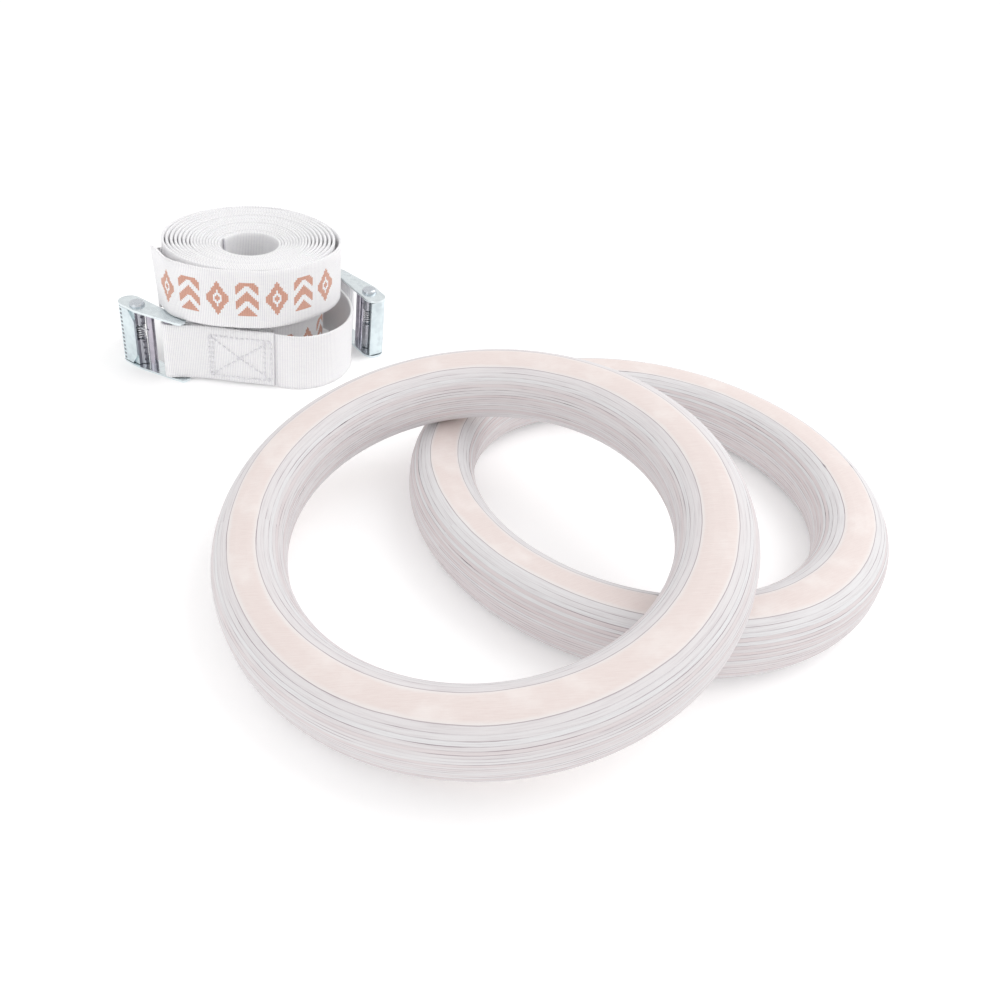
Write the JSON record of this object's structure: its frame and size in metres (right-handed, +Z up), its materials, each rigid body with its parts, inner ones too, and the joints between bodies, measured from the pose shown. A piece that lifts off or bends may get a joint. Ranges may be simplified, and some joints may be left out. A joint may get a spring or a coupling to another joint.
{
  "type": "gymnastics rings",
  "caption": "Pair of laminated wooden gymnastics rings with rolled hanging straps and spring cam buckles, laid out on the floor.",
  "frame": {"origin": "middle of the footprint of the whole laid-out set, on the floor", "axes": "+Z up, +X to the picture's right, +Y away from its camera; the coiled straps lie at -X +Y and the rings at +X -Y"},
  "size_m": [0.4416, 0.4141, 0.0832],
  "materials": {
    "birch": "sanded laminated birch, pale lime wash",
    "webbing": "ribbed white polyester webbing with a terracotta woven band",
    "thread": "bonded white thread",
    "zinc_steel": "bright zinc plated steel",
    "lever_steel": "zinc plated cast lever, slightly mottled",
    "spring_wire": "bare spring steel wire"
  },
  "bodies": {
    "back_ring": {"back_ring": "birch"},
    "front_ring": {"front_ring": "birch"},
    "lower_strap": {"lower_strap_coil": "webbing", "lower_strap_loose_turn": "webbing", "lower_strap_end_loop": "webbing", "lower_strap_stitching": "thread"},
    "upper_strap": {"upper_strap_coil": "webbing", "upper_strap_front_turn": "webbing", "upper_strap_back_turn": "webbing", "upper_strap_end_loop": "webbing", "upper_strap_stitching": "thread"},
    "left_buckle": {"left_buckle_upper_plate": "zinc_steel", "left_buckle_lower_plate": "zinc_steel", "left_buckle_clamp_bar": "zinc_steel", "left_buckle_strap_bar": "zinc_steel", "left_buckle_cam_pin": "zinc_steel", "left_buckle_spring": "birch"},
    "left_cam_lever": {"left_buckle_cam_lever": "lever_steel"},
    "right_buckle": {"right_buckle_upper_plate": "zinc_steel", "right_buckle_lower_plate": "zinc_steel", "right_buckle_clamp_bar": "zinc_steel", "right_buckle_strap_bar": "zinc_steel", "right_buckle_cam_pin": "zinc_steel", "right_buckle_spring": "birch"},
    "right_cam_lever": {"right_buckle_cam_lever": "lever_steel"}
  },
  "joints": [
    {"name": "front_ring_lift", "type": "slide", "parent": "back_ring", "child": "front_ring", "axis": [0, 0, 1], "range_m": [0, 0.2]},
    {"name": "lower_strap_lift", "type": "slide", "parent": "back_ring", "child": "lower_strap", "axis": [0, 0, 1], "range_m": [0, 0.2]},
    {"name": "upper_strap_lift", "type": "slide", "parent": "lower_strap", "child": "upper_strap", "axis": [0, 0, 1], "range_m": [0, 0.2]},
    {"name": "left_buckle_swivel", "type": "hinge", "parent": "lower_strap", "child": "left_buckle", "pos_m": [-0.18474, 0.10193, 0], "axis": [0, 0, 1], "range_deg": [-4, 30]},
    {"name": "left_cam_press", "type": "hinge", "parent": "left_buckle", "child": "left_cam_lever", "pos_m": [-0.2075, 0.1174, 0], "axis": [0, 0, -1], "range_deg": [0, 35], "stiffness_Nm_per_rad": 0.15, "springref_deg": -17.19, "deforming": ["left_buckle_spring"]},
    {"name": "right_buckle_swivel", "type": "hinge", "parent": "upper_strap", "child": "right_buckle", "pos_m": [-0.07631, 0.18057, 0], "axis": [0, 0, 1], "range_deg": [-7, 25]},
    {"name": "right_cam_press", "type": "hinge", "parent": "right_buckle", "child": "right_cam_lever", "pos_m": [-0.061, 0.1577, 0], "axis": [0, 0, -1], "range_deg": [0, 35], "stiffness_Nm_per_rad": 0.15, "springref_deg": -17.19, "deforming": ["right_buckle_spring"]}
  ]
}
